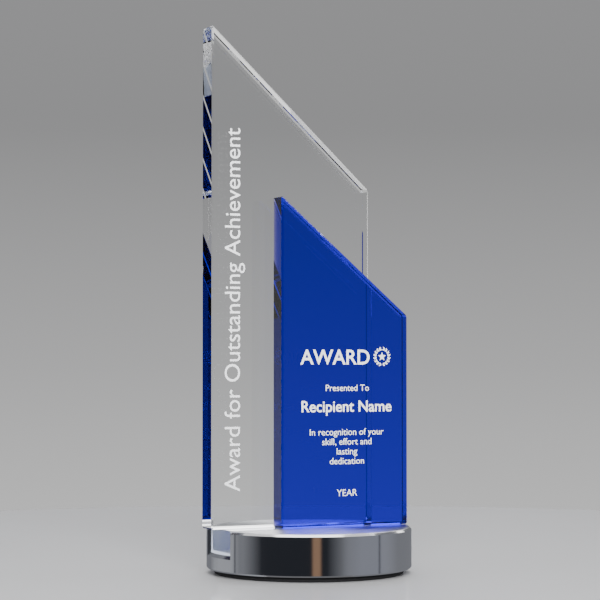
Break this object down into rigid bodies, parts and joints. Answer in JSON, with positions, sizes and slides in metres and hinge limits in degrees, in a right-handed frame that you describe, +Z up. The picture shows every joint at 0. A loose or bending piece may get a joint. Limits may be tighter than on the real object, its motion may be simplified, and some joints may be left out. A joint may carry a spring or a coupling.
{
  "type": "crystal award",
  "caption": "Free-standing crystal award: a tall clear slant-topped panel and a shorter blue one in front, on a round slotted aluminium base.",
  "frame": {"origin": "centre of the foam pad's underside, on the disk's axis, where the award rests", "axes": "+Z up the disk's axis; X along the slot and the panels' width, with the tall edges at -X; the inscribed front faces look towards -Y"},
  "size_m": [0.1023, 0.1, 0.2643],
  "materials": {
    "polished_aluminium": "lathe-turned and polished, bright chamfers",
    "clear_crystal": "optical crystal, flame-clear polished faces and arrises",
    "blue_crystal": "cobalt optical crystal, polished",
    "cured_adhesive": "cured clear optical adhesive",
    "black_foam": "fine-cell black foam, matt",
    "black_tape": "thin double-sided tape"
  },
  "bodies": {
    "root": {"base_disk": "polished_aluminium", "foot_bar": "clear_crystal", "slot_adhesive": "cured_adhesive", "clear_panel": "clear_crystal", "blue_panel": "blue_crystal", "panel_bond": "cured_adhesive", "clear_foot_bond": "cured_adhesive", "blue_foot_bond": "cured_adhesive", "foot_pad": "black_foam", "pad_tape": "black_tape"}
  },
  "joints": []
}
